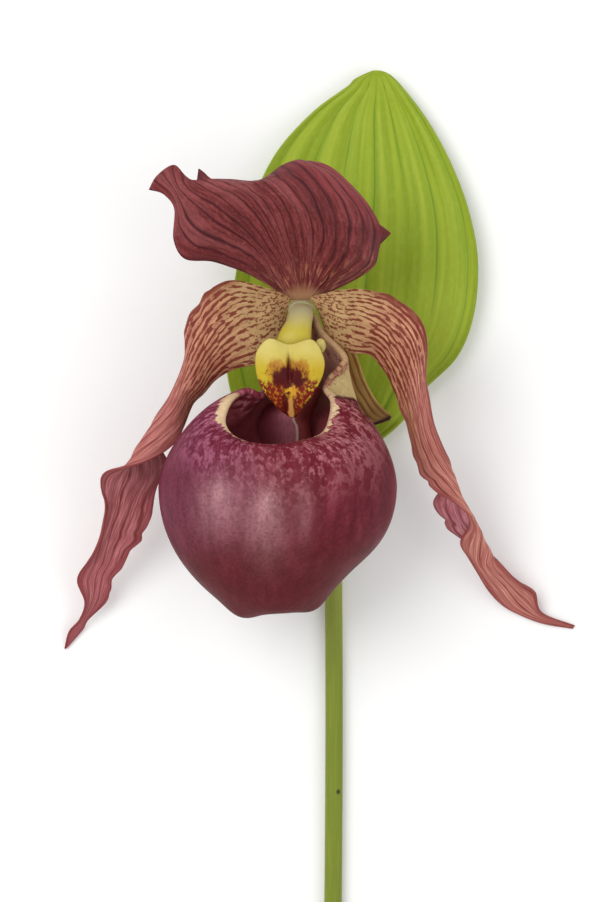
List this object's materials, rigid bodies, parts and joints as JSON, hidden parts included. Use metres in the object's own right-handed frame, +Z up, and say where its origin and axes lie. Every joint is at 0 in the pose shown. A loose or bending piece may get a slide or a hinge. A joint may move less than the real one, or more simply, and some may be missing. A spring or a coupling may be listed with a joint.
{
  "type": "cut slipper orchid flower with floral leaf and stem",
  "caption": "Large slipper orchid bloom with a hollow lip, long twisted petals and a pleated floral leaf on a cut stem, lying on its back.",
  "frame": {"origin": "flat spot on the underside of the floral leaf, below the base of the flower, where the part rests on the surface", "axes": "+Z up, the way the flower faces; +Y along the stem, from its cut end towards the tip of the floral leaf; +X to the right of the flower seen from the front"},
  "size_m": [0.1279, 0.2199, 0.056],
  "materials": {
    "stem": "fresh green stalk, faint lengthwise ribs, satin",
    "ovary": "green ribbed ovary with short hairs, satin",
    "leaf": "yellow-green pleated leaf with parallel veins, satin",
    "sepal": "dark maroon with darker veins, cream streaks at the base, satin",
    "synsepal": "olive brown with maroon stripes, satin",
    "petal": "dusky rose with maroon veins, cream with maroon spots at the base, satin",
    "lip": "wine red with a pink and cream net near the mouth, waxy gloss",
    "column": "cream to yellow, smooth, satin",
    "staminode": "glossy yellow with a maroon blotch",
    "anther": "pale yellow, sticky gloss"
  },
  "bodies": {
    "root": {"stem": "stem", "ovary": "ovary", "bract": "leaf", "dorsal_sepal": "sepal", "synsepal": "synsepal", "petal_left": "petal", "petal_right": "petal", "lip": "lip", "lip_fold": "lip", "column": "column", "staminode": "staminode", "anther_left": "anther", "anther_right": "anther", "stigma": "column"}
  },
  "joints": []
}
